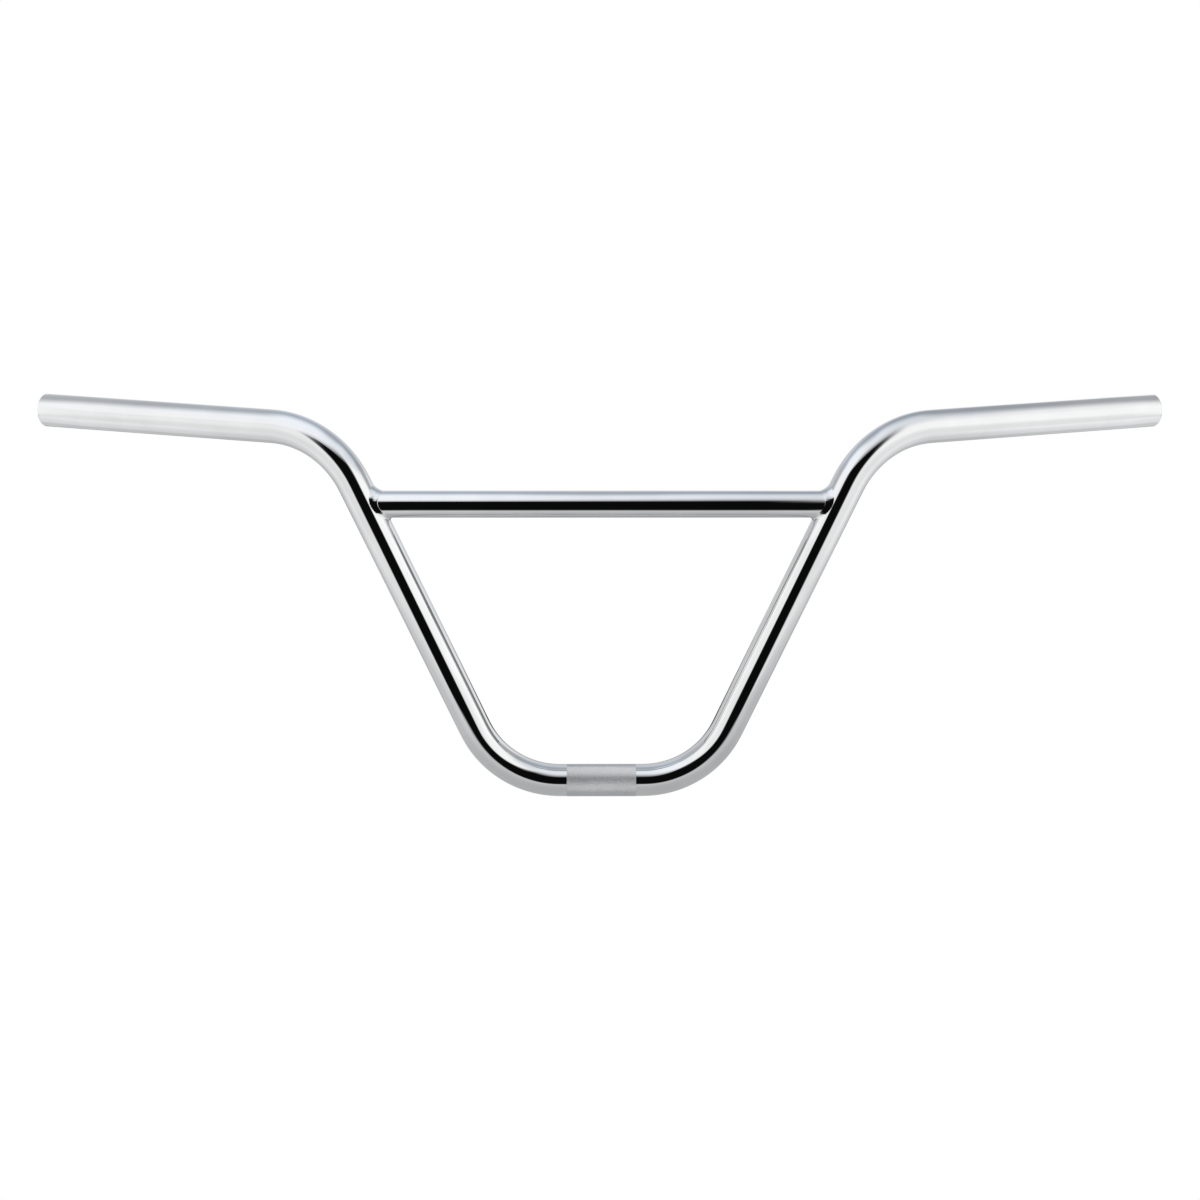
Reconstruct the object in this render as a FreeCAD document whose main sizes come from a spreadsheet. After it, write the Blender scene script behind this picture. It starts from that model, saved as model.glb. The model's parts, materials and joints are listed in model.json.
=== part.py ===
"""A BMX handlebar: one bent main tube, a coped crossbar and the two welds that join them.

Frame: origin at the middle of the stem clamp, +X along the clamp to the right of the front view,
+Y back towards the rider, +Z up. Millimetres and degrees.
"""
import FreeCAD, Part
import math
import os

from FreeCAD import Placement, Rotation, Vector
from Sketcher import Constraint

ORIGIN = Vector(0, 0, 0)
X_AXIS = Vector(1, 0, 0)
Y_AXIS = Vector(0, 1, 0)
Z_AXIS = Vector(0, 0, 1)

# Driving dimensions: alias, value and what it measures
DIMENSIONS = [
    ("tube_diameter", 22.2, "main tube, outside"),
    ("tube_wall", 1.5, "main tube, wall"),
    ("clamp_straight", 58.0, "straight run at the stem, between the lower bends"),
    ("bend_radius", 63.5, "all four bends, at the centre line of the tube"),
    ("upright_angle", 65.5, "uprights, above the line of the clamp"),
    ("upright_length", 187.0, "straight run of each upright"),
    ("upsweep_angle", 3.0, "grips, above the horizontal"),
    ("backsweep_angle", 11.0, "grips, back from the line of the clamp"),
    ("grip_length", 164.5, "straight run of each grip"),
    ("end_chamfer", 0.6, "chamfer on the outer edge of each open end"),
    ("knurl_length", 48.0, "knurled band, along the clamp"),
    ("knurl_height", 0.08, "crests of the knurl, above the tube"),
    ("crossbar_diameter", 18.0, "crossbar, outside"),
    ("crossbar_wall", 1.0, "crossbar, wall"),
    ("crossbar_drop", 15.0, "line of the crossbar, down the upright from the upper bend"),
    ("weld_leg_top", 5.0, "weld above the crossbar, from its root to its toe on each tube"),
    ("weld_leg_below", 2.4, "weld below the crossbar, from its root to its toe on each tube"),
    ("weld_dish", 0.6, "dish of the weld's face: 0 is flat, 1 is tangent to both tubes"),
    ("weld_bite", 0.15, "how far the toes of the weld reach under both surfaces"),
]

# The upper end of the upright's straight run
TILT = "Sizes.upright_angle * 1deg"
UPRIGHT_TOP_X = (f"Sizes.clamp_straight / 2 + Sizes.bend_radius * sin({TILT})"
                 f" + Sizes.upright_length * cos({TILT})")
UPRIGHT_TOP_Z = f"Sizes.bend_radius * (1 - cos({TILT})) + Sizes.upright_length * sin({TILT})"

# The point where the lines of the crossbar and the upright meet
CROSSBAR_X = f"{UPRIGHT_TOP_X} - Sizes.crossbar_drop * cos({TILT})"
CROSSBAR_Z = f"{UPRIGHT_TOP_Z} - Sizes.crossbar_drop * sin({TILT})"

# The direction of the grip, resolved along the upright, across it and to the back
UP = "Sizes.upsweep_angle * 1deg"
BACK = "Sizes.backsweep_angle * 1deg"
GRIP_ALONG = f"cos({UP}) * cos({BACK}) * cos({TILT}) + sin({UP}) * sin({TILT})"
GRIP_ACROSS = f"cos({UP}) * cos({BACK}) * sin({TILT}) - sin({UP}) * cos({TILT})"
GRIP_BACK = f"cos({UP}) * sin({BACK})"

# Radii of the rods that the tubes are cut from
TUBE_RADIUS = "Sizes.tube_diameter / 2"
TUBE_BORE = "Sizes.tube_diameter / 2 - Sizes.tube_wall"
CROSSBAR_RADIUS = "Sizes.crossbar_diameter / 2"
CROSSBAR_BORE = "Sizes.crossbar_diameter / 2 - Sizes.crossbar_wall"

WELD_SECTIONS = 13
SAME_PLACE = 1e-4

doc = FreeCAD.newDocument("bmx_handlebar")


def add(kind, name, **properties):
    """A document object with its label and properties set."""
    item = doc.addObject(kind, name)
    item.Label = name
    for key, value in properties.items():
        setattr(item, key, value)
    return item


def bind(item, **expressions):
    """Bind an object's properties to the sheet; a double underscore stands for a dot."""
    for key, expression in expressions.items():
        item.setExpression(key.replace("__", "."), expression)
    return item


def make_sheet():
    """The spreadsheet of driving dimensions."""
    sheet = add("Spreadsheet::Sheet", "Sizes")
    for row, (alias, value, meaning) in enumerate(DIMENSIONS, start=1):
        sheet.set(f"A{row}", meaning)
        sheet.set(f"B{row}", str(value))
        sheet.setAlias(f"B{row}", alias)
    doc.recompute()
    return sheet


def constrain(sketch, name, constraint, expression):
    """Add a named constraint to a sketch and bind it to the sheet."""
    sketch.renameConstraint(sketch.addConstraint(constraint), name)
    sketch.setExpression(f"Constraints.{name}", expression)


def bend_and_run(sketch, start, turn, turn_expression, run_alias):
    """Add a tangent bend and the straight run after it to a path that heads along the sketch's X."""
    radius = sheet.bend_radius
    length = getattr(sheet, run_alias)
    quarter = math.pi / 2
    circle = Part.Circle(start + Vector(0, radius, 0), Z_AXIS, radius)
    bend = sketch.addGeometry(Part.ArcOfCircle(circle, -quarter, turn - quarter))
    bend_end = sketch.Geometry[bend].EndPoint
    heading = Vector(math.cos(turn), math.sin(turn), 0)
    run = sketch.addGeometry(Part.LineSegment(bend_end, bend_end + heading * length))
    sketch.addConstraint(Constraint("Tangent", bend, 2, run, 1))
    constrain(sketch, "radius", Constraint("Radius", bend, radius), "Sizes.bend_radius")
    constrain(sketch, "turn", Constraint("Angle", run, turn), turn_expression)
    constrain(sketch, "run", Constraint("Distance", run, length), f"Sizes.{run_alias}")
    return bend


def make_lower_path():
    """Centre line of the right half's lower part: clamp, lower bend and upright."""
    sketch = add("Sketcher::SketchObject", "lower_path", Placement=Placement(ORIGIN, Rotation(X_AXIS, 90)))
    half = sheet.clamp_straight / 2
    clamp = sketch.addGeometry(Part.LineSegment(ORIGIN, X_AXIS * half))
    sketch.addConstraint(Constraint("Coincident", clamp, 1, -1, 1))
    sketch.addConstraint(Constraint("Horizontal", clamp))
    constrain(sketch, "half_clamp", Constraint("Distance", clamp, half), "Sizes.clamp_straight / 2")
    bend = bend_and_run(sketch, X_AXIS * half, math.radians(sheet.upright_angle), TILT, "upright_length")
    sketch.addConstraint(Constraint("Tangent", clamp, 2, bend, 1))
    return sketch


def make_upper_path():
    """Centre line of the upper bend and the grip, in the plane that the bend turns in.

    The sketch's X runs up the upright, and its Y points the way that the tube bends.
    """
    sketch = add("Sketcher::SketchObject", "upper_path")
    bind(sketch, Placement__Base__x=UPRIGHT_TOP_X, Placement__Base__z=UPRIGHT_TOP_Z,
         Placement__Rotation__Yaw="0", Placement__Rotation__Pitch=f"-({TILT})",
         Placement__Rotation__Roll=f"-atan2({GRIP_ACROSS}; {GRIP_BACK})")
    turn = math.radians(sheet.upright_angle - sheet.upsweep_angle)
    bend = bend_and_run(sketch, ORIGIN, turn, f"acos({GRIP_ALONG})", "grip_length")
    sketch.addConstraint(Constraint("Coincident", bend, 1, -1, 1))
    sketch.addConstraint(Constraint("PointOnObject", bend, 3, -2))
    return sketch


def mirrored(name, source):
    """A copy of an object on the other side of the bar."""
    return add("Part::Mirroring", name, Source=source, Base=ORIGIN, Normal=X_AXIS)


def bent_rod(name, radius):
    """A solid rod along the whole bent centre line, as separate runs to be fused."""
    runs = []
    for path in paths:
        section = add("Part::Circle", f"{name}_{path.Name}_section", AttachmentSupport=[(path, "Edge1")],
                      MapMode="NormalToEdge", MapPathParameter=0)
        bind(section, Radius=radius)
        spine = [f"Edge{number}" for number in range(1, path.GeometryCount + 1)]
        run = add("Part::Sweep", f"{name}_{path.Name}", Sections=[section], Spine=(path, spine), Solid=True)
        runs += [run, mirrored(f"{run.Name}_mirrored", run)]
    return runs


def straight_rod(name, radius, half_length, height="0"):
    """A solid rod along X, centred on the bar."""
    rod = add("Part::Cylinder", name, Placement=Placement(ORIGIN, Rotation(Y_AXIS, 90)))
    return bind(rod, Radius=radius, Height=f"2 * ({half_length})", Placement__Base__x=f"-({half_length})",
                Placement__Base__z=height)


def fused(name, shapes):
    """Several objects as one solid, with faces that continue each other joined."""
    return add("Part::MultiFuse", name, Shapes=shapes, Refine=True)


def cut(name, base, tool):
    """An object with another taken away from it."""
    return add("Part::Cut", name, Base=base, Tool=tool)


def end_rims(shape):
    """Numbers of the edges round the outside of the tube's open ends."""
    rims = {}
    for number, edge in enumerate(shape.Edges, start=1):
        is_circle = isinstance(edge.Curve, Part.Circle)
        if is_circle and abs(edge.Curve.Radius - sheet.tube_diameter / 2) < SAME_PLACE:
            rims[number] = abs(edge.Curve.Center.x)
    reach = max(rims.values())
    return [number for number, distance in rims.items() if reach - distance < SAME_PLACE]


def make_main_tube(envelope):
    """The bent tube: bored through, with its end rims chamfered."""
    bored = cut("bored_tube", envelope, fused("main_bore", bent_rod("bore", TUBE_BORE)))
    doc.recompute()
    chamfers = [(number, sheet.end_chamfer, sheet.end_chamfer) for number in end_rims(bored.Shape)]
    return add("Part::Chamfer", "main_tube", Base=bored, Edges=chamfers)


def make_crossbar(envelope, rod):
    """The straight tube, coped at both ends by the main tube."""
    bore = straight_rod("crossbar_bore", CROSSBAR_BORE, CROSSBAR_X, CROSSBAR_Z)
    return cut("crossbar", cut("crossbar_stock", rod, bore), envelope)


def weld_section(turn, meeting):
    """The weld's outline across its seam, at a turn round the crossbar from its rear side."""
    radius = sheet.tube_diameter / 2
    tilt = math.radians(sheet.upright_angle)
    along = Vector(math.cos(tilt), 0, math.sin(tilt))
    inward = Vector(-math.sin(tilt), 0, math.cos(tilt))
    radial = Vector(0, math.cos(turn), math.sin(turn))
    offset = radial * (sheet.crossbar_diameter / 2)

    def on_upright(around, lift):
        """Outward normal and point of the upright's surface."""
        normal = inward * math.cos(around) + Y_AXIS * math.sin(around)
        return normal, meeting + along * lift + normal * radius

    # The seam, unrolled from the upright as an angle and a height
    around = math.asin(min(offset.y / radius, 1.0))
    lift = (offset.z - radius * math.cos(around) * math.cos(tilt)) / math.sin(tilt)
    root = on_upright(around, lift)[1]
    centre = -radius / math.tan(tilt)
    mean_leg = (sheet.weld_leg_top + sheet.weld_leg_below) / 2
    leg = mean_leg + (sheet.weld_leg_top - mean_leg) * math.sin(turn)
    spread = 1 + leg / math.hypot(radius * around, lift - centre)

    normal, upright_toe = on_upright(around * spread, centre + (lift - centre) * spread)
    upright_toe = upright_toe - normal * sheet.weld_bite
    crossbar_toe = root - X_AXIS * leg - radial * sheet.weld_bite
    middle = (upright_toe + crossbar_toe) * 0.5
    face = Part.BezierCurve()
    face.setPoles([upright_toe, middle + (root - middle) * sheet.weld_dish, crossbar_toe])
    deep = root + (root - middle).normalize() * sheet.crossbar_wall
    sides = [Part.LineSegment(crossbar_toe, deep), Part.LineSegment(deep, upright_toe)]
    return Part.Wire([side.toShape() for side in [face] + sides])


def make_welds(envelope, rod):
    """A dished bead all round each seam, narrower below, trimmed to the surfaces of both tubes."""
    base = rod.Placement.Base
    meeting = Vector(-base.x, 0, base.z)
    turns = [math.pi * (step / (WELD_SECTIONS - 1) - 0.5) for step in range(WELD_SECTIONS)]
    half = Part.makeLoft([weld_section(turn, meeting) for turn in turns], True)
    blank = add("Part::Feature", "weld_blank", Shape=half.fuse(half.mirror(ORIGIN, Y_AXIS)))
    right = cut("right_weld", cut("weld_off_upright", blank, envelope), rod)
    return add("Part::Compound", "crossbar_welds", Links=[right, mirrored("left_weld", right)])


def check(solid_counts):
    """Stop if anything in the document failed or a sub-part isn't the right number of valid solids."""
    for item in doc.Objects:
        if "Invalid" in item.State or "Error" in item.State:
            raise RuntimeError(f"{item.Label} failed: {item.State}")
    for node, count in solid_counts.items():
        shape = node.Shape
        if shape.isNull() or not shape.isValid() or len(shape.Solids) != count:
            raise RuntimeError(f"{node.Label} should be {count} valid solids")


sheet = make_sheet()
paths = [make_lower_path(), make_upper_path()]
doc.recompute()
knurl = straight_rod("knurl_band", f"{TUBE_RADIUS} + Sizes.knurl_height", "Sizes.knurl_length / 2")
tube_envelope = fused("main_envelope", bent_rod("outer", TUBE_RADIUS) + [knurl])
crossbar_rod = straight_rod("crossbar_rod", CROSSBAR_RADIUS, CROSSBAR_X, CROSSBAR_Z)
doc.recompute()

main_tube = make_main_tube(tube_envelope)
crossbar = make_crossbar(tube_envelope, crossbar_rod)
crossbar_welds = make_welds(tube_envelope, crossbar_rod)
doc.recompute()

sub_parts = {main_tube: 1, crossbar: 1, crossbar_welds: 2}
check(sub_parts)
os.makedirs("parts", exist_ok=True)
for sub_part in sub_parts:
    sub_part.Shape.exportStep(f"parts/{sub_part.Label}.step")
    box = sub_part.Shape.BoundBox
    extent = f"{box.XLength:.1f} x {box.YLength:.1f} x {box.ZLength:.1f} mm"
    print(f"{sub_part.Label}: {extent}, {sub_part.Shape.Volume:.0f} mm3")
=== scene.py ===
import json
import math
from typing import NamedTuple

import bmesh
import bpy
from mathutils import Matrix, Quaternion, Vector


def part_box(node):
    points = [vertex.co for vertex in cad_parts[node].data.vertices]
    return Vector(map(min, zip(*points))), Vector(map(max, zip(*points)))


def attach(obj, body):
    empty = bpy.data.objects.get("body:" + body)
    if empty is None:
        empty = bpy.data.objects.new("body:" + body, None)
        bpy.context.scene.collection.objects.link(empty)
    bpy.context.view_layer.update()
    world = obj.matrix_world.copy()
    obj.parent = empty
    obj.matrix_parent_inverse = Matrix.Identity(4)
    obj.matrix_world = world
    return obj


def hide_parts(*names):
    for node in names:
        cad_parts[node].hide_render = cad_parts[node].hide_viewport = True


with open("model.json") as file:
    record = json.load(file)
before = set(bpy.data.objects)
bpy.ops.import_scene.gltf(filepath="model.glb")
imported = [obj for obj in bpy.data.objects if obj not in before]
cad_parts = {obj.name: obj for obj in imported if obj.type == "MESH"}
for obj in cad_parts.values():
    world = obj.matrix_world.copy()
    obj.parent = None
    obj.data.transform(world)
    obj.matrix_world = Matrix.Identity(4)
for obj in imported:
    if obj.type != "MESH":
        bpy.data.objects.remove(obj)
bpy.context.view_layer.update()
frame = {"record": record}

MM = 0.001
X_AXIS, Y_AXIS, Z_AXIS = Vector((1, 0, 0)), Vector((0, 1, 0)), Vector((0, 0, 1))
MIRROR = Vector((-1, 1, 1))
WHITE = (1.0, 1.0, 1.0, 1.0)


class Noise(NamedTuple):
    """A noise: its scale, detail and roughness, and the part of its range that is spread out."""
    scale: float
    detail: float
    roughness: float = 0.5
    low: float = 0.3
    high: float = 0.7


class Finish(NamedTuple):
    """A chrome finish: its two shades, its least and most roughness, and the height of its wave and grain."""
    shades: tuple
    gloss: tuple
    wave: float
    grain: float


class Edge(NamedTuple):
    """A soft change along one direction: its place, how far it spreads, and the values before and after."""
    place: float
    soft: float
    before: float = 0.0
    after: float = 1.0


class Stretch(NamedTuple):
    """A stretch along one direction, with soft ends."""
    low: float
    high: float
    soft: float


class Paint(NamedTuple):
    """What a sheet of light shows: how bright it is, how far it hides what is behind, and how blue it is."""
    tone: object
    cover: object = 1.0
    blue: object = 0.0


# Sizes read from the frame
MOUNTS = {mount["name"]: mount for mount in frame["record"]["mounts"]}
CLAMP = MOUNTS["stem_clamp"]["dims"]
GRIP = MOUNTS["right_grip"]
TUBE_RADIUS = CLAMP["r_mm"] * MM
CLAMP_HALF = CLAMP["length_mm"] * MM / 2
GRIP_HEADING = Vector(GRIP["axis"]).normalized()
CROSSBAR_LOW, CROSSBAR_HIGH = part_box("crossbar")
CROSSBAR_RADIUS = (CROSSBAR_HIGH.z - CROSSBAR_LOW.z) / 2
CROSSBAR_HEIGHT = (CROSSBAR_HIGH.z + CROSSBAR_LOW.z) / 2
KNURL_CREST = -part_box("main_tube")[0].z

# Sizes that repeat those of the part
TUBE_BORE = TUBE_RADIUS - 1.5 * MM
CROSSBAR_BORE = CROSSBAR_RADIUS - 1.0 * MM
BEND_RADIUS = 63.5 * MM
UPRIGHT_ANGLE = math.radians(65.5)
UPRIGHT_LENGTH = 187 * MM
END_ROUND = 0.6 * MM
GRIP_LENGTH = GRIP["dims"]["length_mm"] * MM + END_ROUND
KNURL_HALF = 24 * MM
WELD_LEG_TOP = 5.0 * MM
WELD_LEG_BELOW = 2.4 * MM
WELD_BITE = 0.15 * MM
WELD_DISH = 0.6

# The right upright: its heading, where it starts, and where the crossbar's line meets it
UPRIGHT_HEADING = Vector((math.cos(UPRIGHT_ANGLE), 0, math.sin(UPRIGHT_ANGLE)))
LOWER_BEND = Vector((math.sin(UPRIGHT_ANGLE), 0, 1 - math.cos(UPRIGHT_ANGLE))) * BEND_RADIUS
UPRIGHT_START = X_AXIS * CLAMP_HALF + LOWER_BEND
CROSSBAR_FOOT = UPRIGHT_START + UPRIGHT_HEADING * ((CROSSBAR_HEIGHT - UPRIGHT_START.z) / UPRIGHT_HEADING.z)

# The length of tube over which a bend's curvature grows from nothing
BEND_EASE = 9 * MM

# How finely the pieces are divided, and the angles from which their edges look sharp
TUBE_AROUND = 96
BEND_RINGS = 56
BORE_BEND_RINGS = 20
RUN_RINGS = 6
LIP_RINGS = 5
CROSSBAR_RINGS = 12
WELD_AROUND = 144
WELD_ACROSS = 24
TUBE_SHARP = math.radians(40)
WELD_SHARP = math.radians(50)

# The knurl: diamonds round the clamp and along it, the flat left on each crest, and the valleys' depth
KNURL_AROUND = 88
KNURL_ALONG = 62
KNURL_FLAT = 0.3
KNURL_DEPTH = 0.15 * MM
KNURL_ROOT = KNURL_CREST - KNURL_DEPTH

# The seat of the knurl's sleeve in the tube, just below the valleys, and the sleeve's hidden inside
KNURL_SEAT = KNURL_ROOT - 0.05 * MM
KNURL_INNER = KNURL_SEAT - 0.1 * MM

# The weld's ripples: how many round a seam, their height, and how far they bow along the bead
RIPPLES = 34
RIPPLE_HEIGHT = 0.012 * MM
RIPPLE_BOW = 0.9

# The weld's crown: its height, and the shares of the bead's width over which it rises and falls
CROWN_HEIGHT = 0.32 * MM
CROWN_RISE = 0.17
CROWN_FALL = 0.35

# How deep the weld's hidden root lies under the seam
WELD_ROOT = CROSSBAR_RADIUS / 10

# Chrome: its noises, and the finish of the tubes, the welds and the knurl
DRIFT = Noise(45.0, 3.0)
WAVE = Noise(60.0, 1.0)
HAZE = Noise(900.0, 5.0, 0.7, high=0.75)
GRAIN = Noise(6000.0, 3.0)
BRIGHT_CHROME = Finish(shades=((0.72, 0.725, 0.735, 1), (0.755, 0.76, 0.768, 1)), gloss=(0.012, 0.045),
                       wave=0.02 * MM, grain=0.0004 * MM)
WELD_CHROME = Finish(shades=((0.70, 0.705, 0.712, 1), (0.745, 0.75, 0.757, 1)), gloss=(0.03, 0.10),
                     wave=0.05 * MM, grain=0.001 * MM)
KNURL_CHROME = Finish(shades=((0.58, 0.585, 0.595, 1), (0.63, 0.635, 0.645, 1)), gloss=(0.26, 0.36),
                      wave=0.05 * MM, grain=0.002 * MM)

# The bore's steel: its noises, its colours, its least and most roughness, and the height of its streaks
PATCHES = Noise(160.0, 5.0, 0.65, low=0.4, high=0.65)
STREAKS = Noise(1400.0, 3.0)
BORE_STEEL = (0.34, 0.33, 0.32, 1)
BORE_BROWN = (0.2, 0.155, 0.125, 1)
BORE_GLOSS = (0.38, 0.62)
BORE_STREAK = 0.02 * MM
BORE_METAL = 0.8

# The camera that matches the photograph's view, for a square frame
CAMERA_PLACE = Vector((-0.00696, -0.88094, 0.31250))
CAMERA_PITCH = math.radians(-11.811)
CAMERA_YAW = math.radians(-0.388)
CAMERA_ROLL = math.radians(-0.042)
CAMERA_LENS = 39.84
CAMERA_SENSOR = 36.0

# The studio: a white floor, and a booth of light whose open front is dark
FLOOR_HEIGHT = -0.0385
FLOOR_SIZE = 20.0
BOOTH_SIDE = 0.952
BOOTH_FRONT = -0.679
BOOTH_BACK = 0.583
BOOTH_TOP = 0.564
WALL_LOW = -1.0
WALL_HIGH = 1.6
BOOTH_TINT = (1.0, 1.0, 0.99, 1.0)
BOOTH_BLUE = (0.91, 1.0, 1.13, 1.0)

# The booth's walls: their white by height, the brighter right corner, and the dark strip at their foot
WALL_WHITE = Edge(0.1, 0.2, before=0.96, after=1.1)
RIGHT_CORNER = Edge(0.22, 0.1, before=1.04, after=1.12)
FOOT_TONE = 0.02

# The front: where its right starts, and its dark opening, low down, high up and where one becomes the other
FRONT_RIGHT = Edge(0.4, 0.15)
OPENING_TONE = 0.004
OPENING_LOW = Edge(0.3705, 0.055)
OPENING_LOW_MIDDLE = -0.0345
OPENING_HIGH = Edge(0.345, 0.13)
OPENING_HIGH_MIDDLE = -0.02
OPENING_RISE = Edge(0.48, 0.14)

# The sides: where the corner's white ends, where the rear starts, the foot, the white by height and the gap
SIDE_CORNER = Edge(-0.4, 0.18)
SIDE_REAR = Edge(-0.2, 0.08)
SIDE_FOOT = Edge(0.1, 0.035)
LEFT_WHITE = Edge(0.05, 0.1, before=1.0, after=1.19)
LEFT_GAP = Stretch(0.195, 0.53, 0.05)
LEFT_GAP_TONE = Edge(0.42, 0.08, before=0.519, after=0.3)
RIGHT_WHITE = Edge(0.05, 0.1, before=1.0, after=1.29)
RIGHT_GAP = Stretch(0.1, 0.55, 0.05)
RIGHT_GAP_TONE = 0.24

# The back: its tone from left to right, its foot and its tint
BACK_TONE = Edge(0.3, 0.3, before=0.72, after=1.0)
BACK_FOOT = Edge(0.05, 0.035)
BACK_BLUE = 0.2

# Painted light on the table: its sides are lit white by the walls and its grey middle is the bar's shadow
# The table: its white sides, its grey middle, where one becomes the other, its rear and its front edge
TABLE_LIT_SIDE = Edge(-0.065, 0.185, before=1.06, after=0.9)
TABLE_LIT_SIDE_RIGHT = Edge(0.0, 0.4, before=1.0, after=1.07)
TABLE_SHADOW = Edge(-0.12, 0.08, before=0.61, after=0.54)
TABLE_SHADOW_FRONT = Edge(-0.09, 0.06, before=1.25, after=1.0)
TABLE_SPREAD = Edge(0.36, 0.27)
TABLE_REAR = Edge(0.12, 0.05, before=1.0, after=0.78)
TABLE_FRONT = Edge(-0.217, 0.05)
TABLE_BLUE = 0.1

# The top: its white and a greyer patch, the strip behind with two bays, its rim, its tint and its front edge
TOP_WHITE = Edge(-0.06, 0.1, before=1.19, after=1.06)
TOP_PATCH = Stretch(0.13, 0.45, 0.07)
TOP_PATCH_TONE = 0.95
TOP_STRIP = Edge(0.0, 0.15, before=1.0, after=0.47)
TOP_BAY = Stretch(0.06, 0.3, 0.05)
TOP_BAY_DEPTH = 0.055
TOP_RIM = Edge(0.36, 0.1, before=0.0, after=0.22)
TOP_RIM_ENDS = Edge(0.35, 0.1, before=1.0, after=0.25)
TOP_BLUE = Edge(0.0, 0.2, before=0.35, after=0.9)
TOP_BLUE_ENDS = Edge(0.4, 0.2, before=1.0, after=0.3)
TOP_SLANT = 0.5
TOP_FRONT = Edge(-0.491, 0.281)


class Graph:
    """Short ways to add and join the nodes of one node tree."""

    def __init__(self, tree):
        self.tree = tree

    def join(self, node, inputs):
        """Set a node's inputs to values, or join them to sockets."""
        for key, value in inputs.items():
            if isinstance(value, bpy.types.NodeSocket):
                self.tree.links.new(value, node.inputs[key])
            else:
                node.inputs[key].default_value = value

    def add(self, kind, inputs=None, output=0, **settings):
        """A node with its settings, and its inputs set or joined; gives one of its outputs."""
        node = self.tree.nodes.new(kind)
        for key, value in settings.items():
            setattr(node, key, value)
        self.join(node, inputs or {})
        return node.outputs[output] if node.outputs else None

    def math(self, operation, *values):
        """One step of arithmetic."""
        return self.add("ShaderNodeMath", dict(enumerate(values)), operation=operation)

    def ramp(self, value, start, end, low, high):
        """A smooth step from low at start to high at end."""
        return self.add("ShaderNodeMapRange", {0: value, 1: start, 2: end, 3: low, 4: high},
                        interpolation_type="SMOOTHSTEP")

    def noise(self, place, noise):
        """A noise over a surface."""
        return self.add("ShaderNodeTexNoise", {"Vector": place, "Scale": noise.scale, "Detail": noise.detail,
                                               "Roughness": noise.roughness})

    def spread(self, value, noise, low=0.0, high=1.0):
        """A noise's value, spread out from low to high."""
        return self.ramp(value, noise.low, noise.high, low, high)

    def bump(self, height, distance, **more):
        """A surface normal that follows a height, with any more inputs by name."""
        return self.add("ShaderNodeBump", {"Height": height, "Distance": distance, "Strength": 1.0, **more})

    def edge(self, value, edge):
        """A soft change of a number along a direction."""
        return self.ramp(value, edge.place - edge.soft, edge.place + edge.soft, edge.before, edge.after)

    def inside(self, value, stretch):
        """One inside a stretch, falling softly to nothing at both its ends."""
        start = self.edge(value, Edge(stretch.low, stretch.soft))
        end = self.edge(value, Edge(stretch.high, stretch.soft, before=1.0, after=0.0))
        return self.math("MULTIPLY", start, end)

    def mix(self, factor, first, second):
        """A mix of two colours."""
        return self.add("ShaderNodeMix", {0: factor, 6: first, 7: second}, output=2, data_type="RGBA")

    def blend(self, factor, first, second):
        """A mix of two numbers."""
        return self.add("ShaderNodeMix", {0: factor, 2: first, 3: second}, data_type="FLOAT")


# Materials

def shaded_material(name):
    """A node material with its graph and its main shader."""
    material = bpy.data.materials.new(name)
    material.use_nodes = True
    return material, Graph(material.node_tree), material.node_tree.nodes["Principled BSDF"]


def empty_material(name):
    """A node material with nothing in it yet, and its graph."""
    material = bpy.data.materials.new(name)
    material.use_nodes = True
    material.node_tree.nodes.clear()
    return material, Graph(material.node_tree)


def plated(name, finish):
    """Chrome plate: a faint tint and haze that drift over it, the wave left by polishing, and grain."""
    material, graph, shader = shaded_material(name)
    place = graph.add("ShaderNodeTexCoord", output="Object")
    drift = graph.spread(graph.noise(place, DRIFT), DRIFT)
    haze = graph.spread(graph.noise(place, HAZE), HAZE, *finish.gloss)
    waved = graph.bump(graph.noise(place, WAVE), finish.wave)
    grained = graph.bump(graph.noise(place, GRAIN), finish.grain, Normal=waved)
    graph.join(shader, {"Base Color": graph.mix(drift, *finish.shades), "Roughness": haze, "Normal": grained,
                        "Metallic": 1.0})
    return material


def bare_bore(name):
    """The unplated inside of the tube: dull drawn steel, browned in patches."""
    material, graph, shader = shaded_material(name)
    place = graph.add("ShaderNodeTexCoord", output="Object")
    patches = graph.spread(graph.noise(place, PATCHES), PATCHES)
    streaks = graph.noise(place, STREAKS)
    graph.join(shader, {"Base Color": graph.mix(patches, BORE_STEEL, BORE_BROWN),
                        "Roughness": graph.spread(streaks, STREAKS, *BORE_GLOSS),
                        "Normal": graph.bump(streaks, BORE_STREAK), "Metallic": BORE_METAL})
    return material


# Pieces

def add_piece(name, vertices, faces, materials, smooth=True):
    """A mesh object whose faces point outwards."""
    mesh = bpy.data.meshes.new(name)
    mesh.from_pydata(vertices, [], faces)
    for material in materials:
        mesh.materials.append(material)
    shaper = bmesh.new()
    shaper.from_mesh(mesh)
    bmesh.ops.recalc_face_normals(shaper, faces=shaper.faces)
    shaper.to_mesh(mesh)
    shaper.free()
    mesh.polygons.foreach_set("use_smooth", [smooth] * len(mesh.polygons))
    piece = bpy.data.objects.new(name, mesh)
    bpy.context.scene.collection.objects.link(piece)
    return piece


def seat(piece, slot, *nodes):
    """Ride a piece on the one body, hiding the CAD nodes that it stands for; the slot is not used."""
    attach(piece, "root")
    if nodes:
        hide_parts(*nodes)


def band_faces(rings, around):
    """Quads of a closed band of rings, the last ring joined to the first."""
    faces = []
    for ring in range(rings):
        following = (ring + 1) % rings
        for step in range(around):
            beside = (step + 1) % around
            faces.append((ring * around + step, ring * around + beside,
                          following * around + beside, following * around + step))
    return faces


def turns(count):
    """Angles evenly spaced round a circle."""
    return [math.tau * step / count for step in range(count)]


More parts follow.
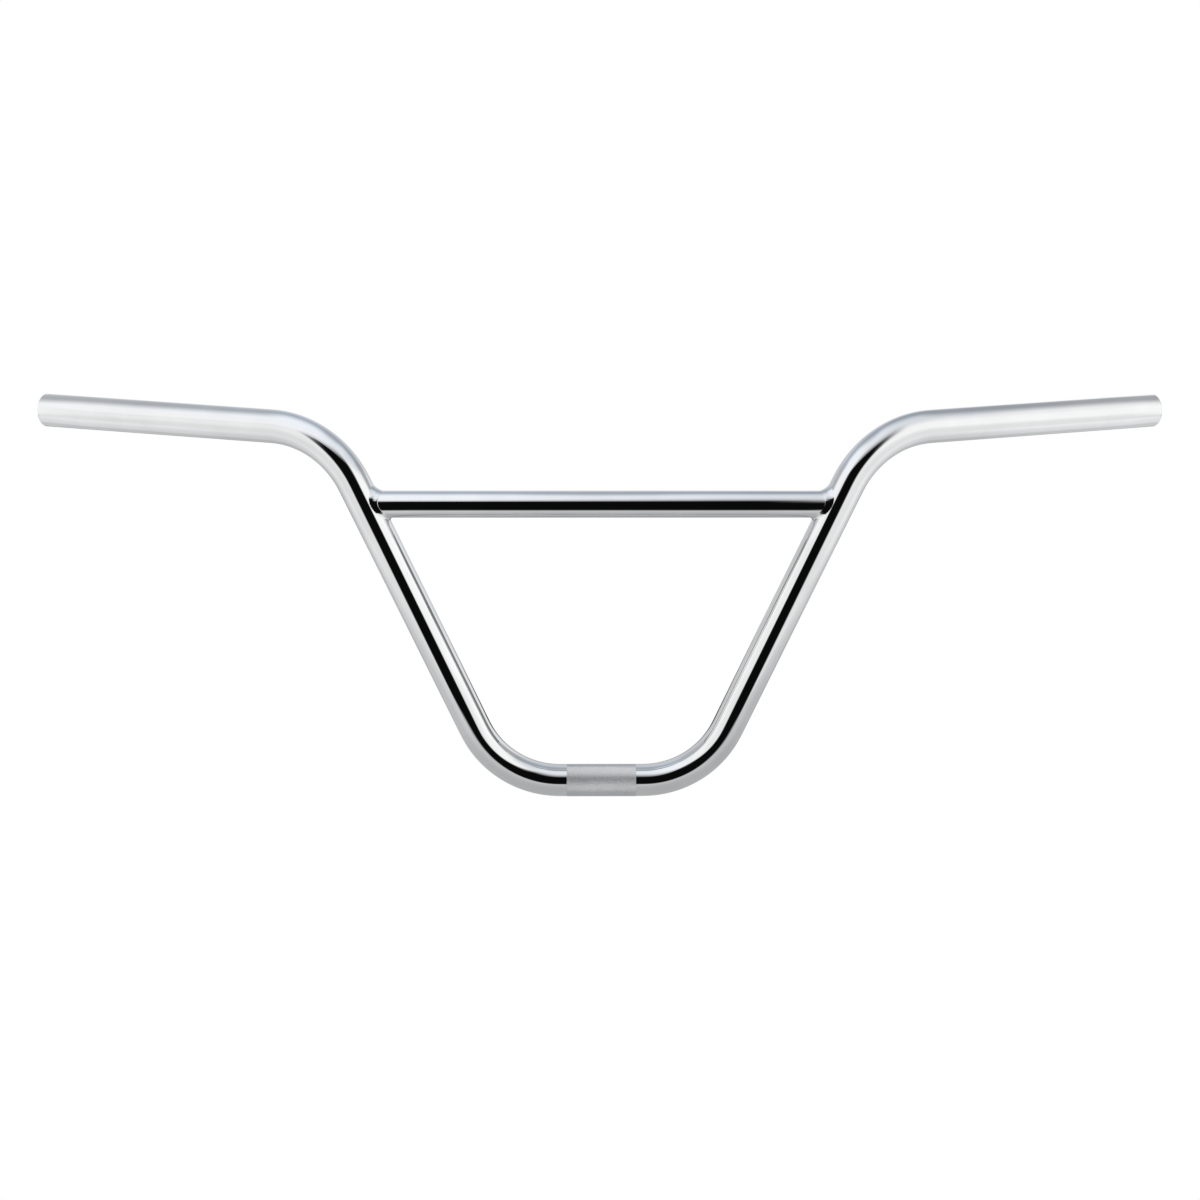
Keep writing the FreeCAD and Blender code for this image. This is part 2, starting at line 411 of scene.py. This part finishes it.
def circle(station, radius):
    """Points of a ring across the tube at a station."""
    centre, heading, across = station
    other = heading.cross(across)
    return [centre + (across * math.cos(turn) + other * math.sin(turn)) * radius
            for turn in turns(TUBE_AROUND)]


def bend_turn(travel, turn):
    """How far a bend has turned after a distance along it: its curvature grows, holds and fades again."""
    left = turn * BEND_RADIUS + BEND_EASE - travel
    if travel < BEND_EASE:
        return travel ** 2 / (2 * BEND_RADIUS * BEND_EASE)
    if left < BEND_EASE:
        return turn - left ** 2 / (2 * BEND_RADIUS * BEND_EASE)
    return (travel - BEND_EASE / 2) / BEND_RADIUS


def right_stations(bend_rings):
    """Stations of the centre line from the end of the clamp to the end of the right grip.

    Each is a point, the heading there and one direction across, carried along without twist.
    Each bend starts a little before its tangent point and ends a little after, with the runs in place.
    """
    point, heading, across = X_AXIS * CLAMP_HALF, X_AXIS.copy(), Y_AXIS.copy()
    # Easing a bend's curvature over a length moves its arc inwards by that length squared over 24 radii
    inset = BEND_EASE ** 2 / (24 * BEND_RADIUS)
    stations = []
    for new_heading, length in ((UPRIGHT_HEADING, UPRIGHT_LENGTH), (GRIP_HEADING, GRIP_LENGTH)):
        axis = heading.cross(new_heading).normalized()
        turn = heading.angle(new_heading)
        lead = BEND_EASE / 2 + inset * math.tan(turn / 2)
        stride = (turn * BEND_RADIUS + BEND_EASE) / bend_rings
        place = point - heading * lead
        for step in range(bend_rings):
            start, end = bend_turn(step * stride, turn), bend_turn((step + 1) * stride, turn)
            half = (end - start) / 2
            turned = Quaternion(axis, start)
            stations.append((place, turned @ heading, turned @ across))
            place = place + Quaternion(axis, start + half) @ heading * (stride * math.sin(half) / half)
        centre = point + axis.cross(heading) * BEND_RADIUS
        whole_turn = Quaternion(axis, turn)
        point = centre + whole_turn @ (point - centre)
        heading = whole_turn @ heading
        across = whole_turn @ across
        for step in range(RUN_RINGS):
            along = lead + (length - 2 * lead) * step / RUN_RINGS
            stations.append((point + heading * along, heading, across))
        point = point + heading * length
    return stations + [(point, heading, across)]


def flipped(station):
    """The same station on the left half, still heading to the right."""
    centre, heading, across = station
    return centre * MIRROR, -(heading * MIRROR), across * MIRROR


def end_lip(station, outward):
    """Rings round an open end, from the outside of the tube to its bore, with both edges rounded."""
    centre, heading, across = station
    rings = []
    for start, edge in ((0, TUBE_RADIUS - END_ROUND), (1, TUBE_BORE + END_ROUND)):
        for step in range(LIP_RINGS):
            turn = math.pi / 2 * (start + step / (LIP_RINGS - 1))
            back = END_ROUND * (1 - math.sin(turn))
            radius = edge + END_ROUND * math.cos(turn)
            rings.append(circle((centre - heading * (outward * back), heading, across), radius))
    return rings


def make_bar_tube(plate, bore):
    """The bent tube, with a shallow seat for the knurl, rounded ends and a bore right through."""
    half = right_stations(BEND_RINGS)
    clamp = [(-KNURL_HALF, TUBE_RADIUS), (-KNURL_HALF, KNURL_SEAT),
             (KNURL_HALF, KNURL_SEAT), (KNURL_HALF, TUBE_RADIUS)]
    outside = [circle(flipped(station), TUBE_RADIUS) for station in reversed(half[:-1])]
    outside += [circle((X_AXIS * place, X_AXIS, Y_AXIS), radius) for place, radius in clamp]
    outside += [circle(station, TUBE_RADIUS) for station in half[:-1]]
    inner_half = right_stations(BORE_BEND_RINGS)
    inside = [circle(station, TUBE_BORE) for station in reversed(inner_half[:-1])]
    inside += [circle(flipped(station), TUBE_BORE) for station in inner_half[:-1]]
    right_lip = end_lip(half[-1], 1)
    left_lip = list(reversed(end_lip(flipped(half[-1]), -1)))
    rings = outside + right_lip + inside + left_lip
    piece = add_piece("bar_tube", sum(rings, []), band_faces(len(rings), TUBE_AROUND), [plate, bore])
    bore_start = (len(outside) + len(right_lip) - 1) * TUBE_AROUND
    bore_end = bore_start + (len(inside) + 1) * TUBE_AROUND
    for polygon in piece.data.polygons[bore_start:bore_end]:
        polygon.material_index = 1
    piece.data.set_sharp_from_angle(angle=TUBE_SHARP)
    seat(piece, "plated_tube", "main_tube")


def make_knurl(plate):
    """The knurled band of the clamp: a sleeve of flat-topped diamonds between crossing valleys."""
    vertices, faces = [], []

    def place(around, along, radius):
        """Add a point of the sleeve, with its place counted in half diamonds."""
        turn = math.pi * around / KNURL_AROUND
        height = KNURL_HALF * (along / KNURL_ALONG - 1)
        vertices.append((height, radius * math.cos(turn), radius * math.sin(turn)))
        return len(vertices) - 1

    width, length = 2 * KNURL_AROUND, 2 * KNURL_ALONG
    corners = {(around, along): place(around, along, KNURL_ROOT)
               for along in range(length + 1) for around in range(along % 2, width, 2)}

    def corner(around, along):
        """A point of the valleys, counted on past a whole turn."""
        return corners[(around % width, along)]

    # The diamonds, each a flat crest and four slopes
    sides = [(1, 0), (0, 1), (-1, 0), (0, -1)]
    for along in range(1, length):
        for around in range((along + 1) % 2, width, 2):
            base = [corner(around + a, along + b) for a, b in sides]
            top = [place(around + a * KNURL_FLAT, along + b * KNURL_FLAT, KNURL_CREST) for a, b in sides]
            faces.append(tuple(top))
            for side in range(len(sides)):
                beside = (side + 1) % len(sides)
                faces.append((base[side], base[beside], top[beside], top[side]))

    # The ends of the sleeve and its hidden inside
    inner = {along: [place(around, along, KNURL_INNER) for around in range(0, width, 2)]
             for along in (0, length)}
    for along, inward in ((0, 1), (length, -1)):
        for around in range(1, width, 2):
            faces.append((corner(around - 1, along), corner(around + 1, along),
                          corner(around, along + inward)))
        for step in range(KNURL_AROUND):
            beside = (step + 1) % KNURL_AROUND
            faces.append((corner(2 * step, along), corner(2 * beside, along),
                          inner[along][beside], inner[along][step]))
    for step in range(KNURL_AROUND):
        beside = (step + 1) % KNURL_AROUND
        faces.append((inner[0][step], inner[0][beside], inner[length][beside], inner[length][step]))
    piece = add_piece("clamp_knurl", vertices, faces, [plate], smooth=False)
    seat(piece, "plated_tube")


def on_upright(around, lift):
    """Outward normal and point of the right upright's surface, round from its inner side and along it."""
    inward = Vector((-UPRIGHT_HEADING.z, 0, UPRIGHT_HEADING.x))
    normal = inward * math.cos(around) + Y_AXIS * math.sin(around)
    return normal, CROSSBAR_FOOT + UPRIGHT_HEADING * lift + normal * TUBE_RADIUS


def seam(turn, radius):
    """Where a line along the crossbar, turned about its axis, meets the upright: angle round and lift."""
    around = math.asin(radius * math.cos(turn) / TUBE_RADIUS)
    lift = radius * math.sin(turn) - TUBE_RADIUS * math.cos(around) * math.cos(UPRIGHT_ANGLE)
    return around, lift / math.sin(UPRIGHT_ANGLE)


def make_crossbar(plate):
    """The straight tube, coped to the uprights at both ends."""
    outside = [(CROSSBAR_RADIUS, step) for step in range(CROSSBAR_RINGS + 1)]
    inside = [(CROSSBAR_BORE, CROSSBAR_RINGS), (CROSSBAR_BORE, 0)]
    rings = []
    for radius, step in outside + inside:
        share = Vector((2 * step / CROSSBAR_RINGS - 1, 1, 1))
        rings.append([on_upright(*seam(turn, radius))[1] * share for turn in turns(TUBE_AROUND)])
    piece = add_piece("crossbar_tube", sum(rings, []), band_faces(len(rings), TUBE_AROUND), [plate])
    piece.data.set_sharp_from_angle(angle=TUBE_SHARP)
    seat(piece, "plated_tube", "crossbar")


def weld_crown(share):
    """How full the bead is across its width: it rises steeply from the crossbar's toe and falls softly."""
    if share < CROWN_RISE:
        return math.sin(math.pi / 2 * share / CROWN_RISE)
    fall = min((share - CROWN_RISE) / CROWN_FALL, 1.0)
    return (1 + math.cos(math.pi * fall)) / 2


def weld_section(turn):
    """Points across the right weld at a turn round the crossbar, from the upright's toe to the crossbar's.

    A last point closes the section under the seam.
    """
    radial = Vector((0, math.cos(turn), math.sin(turn)))
    around, lift = seam(turn, CROSSBAR_RADIUS)
    root = on_upright(around, lift)[1]
    centre = -TUBE_RADIUS / math.tan(UPRIGHT_ANGLE)
    leg = (WELD_LEG_TOP + WELD_LEG_BELOW) / 2 + (WELD_LEG_TOP - WELD_LEG_BELOW) / 2 * math.sin(turn)
    spread = 1 + leg / math.hypot(TUBE_RADIUS * around, lift - centre)
    normal, upright_toe = on_upright(around * spread, centre + (lift - centre) * spread)
    upright_toe = upright_toe - normal * WELD_BITE
    crossbar_toe = root - X_AXIS * leg - radial * WELD_BITE
    middle = (upright_toe + crossbar_toe) / 2
    outward = (middle - root).normalized()
    hollow = middle + (root - middle) * WELD_DISH
    points = []
    for step in range(WELD_ACROSS + 1):
        share = step / WELD_ACROSS
        rest = 1 - share
        point = upright_toe * rest ** 2 + hollow * (2 * share * rest) + crossbar_toe * share ** 2
        bow = RIPPLE_BOW * (2 * share - 1) ** 2
        ripple = RIPPLE_HEIGHT * math.sin(RIPPLES * turn + bow * math.pi) * math.sin(math.pi * share)
        crown = CROWN_HEIGHT * weld_crown(rest) * math.cos(turn) ** 2
        points.append(point + outward * (ripple + crown))
    return points + [root - outward * WELD_ROOT]


def make_welds(plate):
    """The two beads round the crossbar's ends, faintly rippled and polished before plating."""
    right = [point for turn in turns(WELD_AROUND) for point in weld_section(turn)]
    left = [point * MIRROR for point in right]
    band = band_faces(WELD_AROUND, len(right) // WELD_AROUND)
    faces = band + [tuple(len(right) + corner for corner in face) for face in band]
    piece = add_piece("weld_beads", right + left, faces, [plate])
    piece.data.set_sharp_from_angle(angle=WELD_SHARP)
    seat(piece, "plated_weld", "crossbar_welds")


# The studio

def make_camera():
    """The photograph's view."""
    camera = bpy.data.objects.new("camera", bpy.data.cameras.new("camera"))
    camera.data.lens = CAMERA_LENS
    camera.data.sensor_width = CAMERA_SENSOR
    turned = (Matrix.Rotation(CAMERA_YAW, 4, "Z") @ Matrix.Rotation(CAMERA_PITCH, 4, "X")
              @ Matrix.Rotation(CAMERA_ROLL, 4, "Y"))
    level = Matrix.Rotation(math.pi / 2, 4, "X")
    camera.matrix_world = Matrix.Translation(CAMERA_PLACE) @ turned @ level
    bpy.context.scene.collection.objects.link(camera)
    bpy.context.scene.camera = camera


def wall_white(graph, z):
    """The white of the front and of the corners beside it, which dims towards the floor."""
    return graph.edge(z, WALL_WHITE)


def right_corner(graph, z):
    """How much brighter the corner to the right is, and brightest high up."""
    return graph.edge(z, RIGHT_CORNER)


def dark_foot(graph, z, foot, tone):
    """A tone with the dark strip that runs along the foot of the sides and the back."""
    return graph.blend(graph.edge(z, foot), FOOT_TONE, tone)


def beyond(graph, x, middle, edge):
    """How far a place lies outside an opening, to either side of its middle."""
    return graph.edge(graph.math("ABSOLUTE", graph.math("SUBTRACT", x, middle)), edge)


def front_paint(graph, x, y, z):
    """White, brighter to the right, with a wide dark opening that narrows and blurs upwards."""
    bright = graph.blend(graph.edge(x, FRONT_RIGHT), 1.0, right_corner(graph, z))
    white = graph.math("MULTIPLY", wall_white(graph, z), bright)
    low = beyond(graph, x, OPENING_LOW_MIDDLE, OPENING_LOW)
    high = beyond(graph, x, OPENING_HIGH_MIDDLE, OPENING_HIGH)
    outside = graph.blend(graph.edge(z, OPENING_RISE), low, high)
    return Paint(graph.blend(outside, OPENING_TONE, white))


def side_tone(graph, y, z, corner, own_white, gap, gap_tone):
    """A side's tone: the white of the corner, then its own, with a gap and a dark foot further back."""
    corner_white = graph.math("MULTIPLY", wall_white(graph, z), corner)
    white = graph.blend(graph.edge(y, SIDE_CORNER), corner_white, graph.edge(z, own_white))
    rear = graph.blend(graph.inside(y, gap), white, gap_tone)
    return graph.blend(graph.edge(y, SIDE_REAR), white, dark_foot(graph, z, SIDE_FOOT, rear))


def left_paint(graph, x, y, z):
    """White, with a grey gap behind that darkens upwards."""
    gap_tone = graph.edge(z, LEFT_GAP_TONE)
    return Paint(side_tone(graph, y, z, 1.0, LEFT_WHITE, LEFT_GAP, gap_tone))


def right_paint(graph, x, y, z):
    """A brighter white, with a dark gap behind."""
    corner = right_corner(graph, z)
    return Paint(side_tone(graph, y, z, corner, RIGHT_WHITE, RIGHT_GAP, RIGHT_GAP_TONE))


def back_paint(graph, x, y, z):
    """Grey to the left and white to the right, above a dark foot."""
    return Paint(dark_foot(graph, z, BACK_FOOT, graph.edge(x, BACK_TONE)), blue=BACK_BLUE)


def table_painted_light(graph, x, y, z):
    """Painted light and shade: grey in the middle, the bar's painted shadow, white to the sides, lit by the
    walls, and darker behind; it ends towards the front.
    """
    side = graph.math("MULTIPLY", graph.edge(y, TABLE_LIT_SIDE), graph.edge(x, TABLE_LIT_SIDE_RIGHT))
    # The grey middle is the bar's painted shadow, lighter in front of the bar
    middle = graph.math("MULTIPLY", graph.edge(x, TABLE_SHADOW), graph.edge(y, TABLE_SHADOW_FRONT))
    tone = graph.blend(graph.edge(graph.math("ABSOLUTE", x), TABLE_SPREAD), middle, side)
    tone = graph.math("MULTIPLY", tone, graph.edge(y, TABLE_REAR))
    return Paint(tone, cover=graph.edge(y, TABLE_FRONT), blue=TABLE_BLUE)


def top_paint(graph, x, y, z):
    """White in front, with a bluish grey strip behind; it fades out towards the front on a slant."""
    aside = graph.math("ABSOLUTE", x)
    white = graph.blend(graph.inside(x, TOP_PATCH), graph.edge(x, TOP_WHITE), TOP_PATCH_TONE)
    behind = graph.math("MULTIPLY_ADD", graph.inside(aside, TOP_BAY), -TOP_BAY_DEPTH, y)
    tone = graph.math("MULTIPLY", white, graph.edge(behind, TOP_STRIP))
    rim = graph.math("MULTIPLY", graph.edge(y, TOP_RIM), graph.edge(aside, TOP_RIM_ENDS))
    blue = graph.math("MULTIPLY", graph.edge(y, TOP_BLUE), graph.edge(aside, TOP_BLUE_ENDS))
    cover = graph.edge(graph.math("MULTIPLY_ADD", x, -TOP_SLANT, y), TOP_FRONT)
    return Paint(graph.math("ADD", tone, rim), cover, blue)


def glow(name, paint):
    """A material that gives light as its paint says."""
    material, graph = empty_material(name)
    place = graph.add("ShaderNodeTexCoord", output="Object")
    axes = graph.add("ShaderNodeSeparateXYZ", {0: place}).node.outputs
    tone, cover, blue = paint(graph, *axes)
    tint = graph.mix(blue, BOOTH_TINT, BOOTH_BLUE)
    light = graph.add("ShaderNodeEmission", {"Color": tint, "Strength": tone})
    clear = graph.add("ShaderNodeBsdfTransparent")
    surface = graph.add("ShaderNodeMixShader", {0: cover, 1: clear, 2: light})
    graph.add("ShaderNodeOutputMaterial", {"Surface": surface})
    return material


def sheet(name, corner, along, up, material):
    """A flat stage sheet with one corner and two sides given."""
    mesh = bpy.data.meshes.new(name)
    mesh.from_pydata([corner, corner + along, corner + along + up, corner + up], [], [(0, 1, 2, 3)])
    mesh.materials.append(material)
    stage = bpy.data.objects.new(name, mesh)
    bpy.context.scene.collection.objects.link(stage)
    return stage


def make_floor():
    """A plain white floor, seen by the camera alone."""
    white, graph = empty_material("white_floor")
    light = graph.add("ShaderNodeEmission", {"Color": WHITE, "Strength": 1.0})
    graph.add("ShaderNodeOutputMaterial", {"Surface": light})
    corner = Vector((-FLOOR_SIZE / 2, -FLOOR_SIZE / 2, FLOOR_HEIGHT))
    floor = sheet("floor", corner, X_AXIS * FLOOR_SIZE, Y_AXIS * FLOOR_SIZE, white)
    floor.visible_glossy = False
    floor.visible_diffuse = False
    floor.visible_transmission = False
    floor.visible_shadow = False


def make_booth():
    """Sheets of light round the bar, which show only as reflections in it."""
    width = X_AXIS * (2 * BOOTH_SIDE)
    depth = Y_AXIS * (BOOTH_BACK - BOOTH_FRONT)
    tall = Z_AXIS * (WALL_HIGH - WALL_LOW)
    corner = Vector((-BOOTH_SIDE, BOOTH_FRONT, WALL_LOW))
    table = Vector((-BOOTH_SIDE, BOOTH_FRONT, FLOOR_HEIGHT))
    lid = Vector((-BOOTH_SIDE, BOOTH_FRONT, BOOTH_TOP))
    for name, place, along, up, paint in (
            ("booth_front", corner, width, tall, front_paint),
            ("booth_back", corner + depth, width, tall, back_paint),
            ("booth_left", corner, depth, tall, left_paint),
            ("booth_right", corner + width, depth, tall, right_paint),
            ("booth_table", table, width, depth, table_painted_light),
            ("booth_top", lid, width, depth, top_paint)):
        light = sheet(name, place, along, up, glow(name, paint))
        light.visible_camera = False
        light.visible_shadow = False


def make_world():
    """White beyond the floor, shown as it is."""
    world = bpy.data.worlds.new("white")
    world.use_nodes = True
    backdrop = world.node_tree.nodes["Background"]
    backdrop.inputs["Color"].default_value = WHITE
    backdrop.inputs["Strength"].default_value = 1.0
    bpy.context.scene.world = world
    bpy.context.scene.view_settings.view_transform = "Standard"


bright_plate = plated("bright_chrome", BRIGHT_CHROME)
weld_plate = plated("weld_chrome", WELD_CHROME)
knurl_plate = plated("knurl_chrome", KNURL_CHROME)
tube_bore = bare_bore("bare_bore")

make_bar_tube(bright_plate, tube_bore)
make_knurl(knurl_plate)
make_crossbar(bright_plate)
make_welds(weld_plate)
make_camera()
make_floor()
make_booth()
make_world()
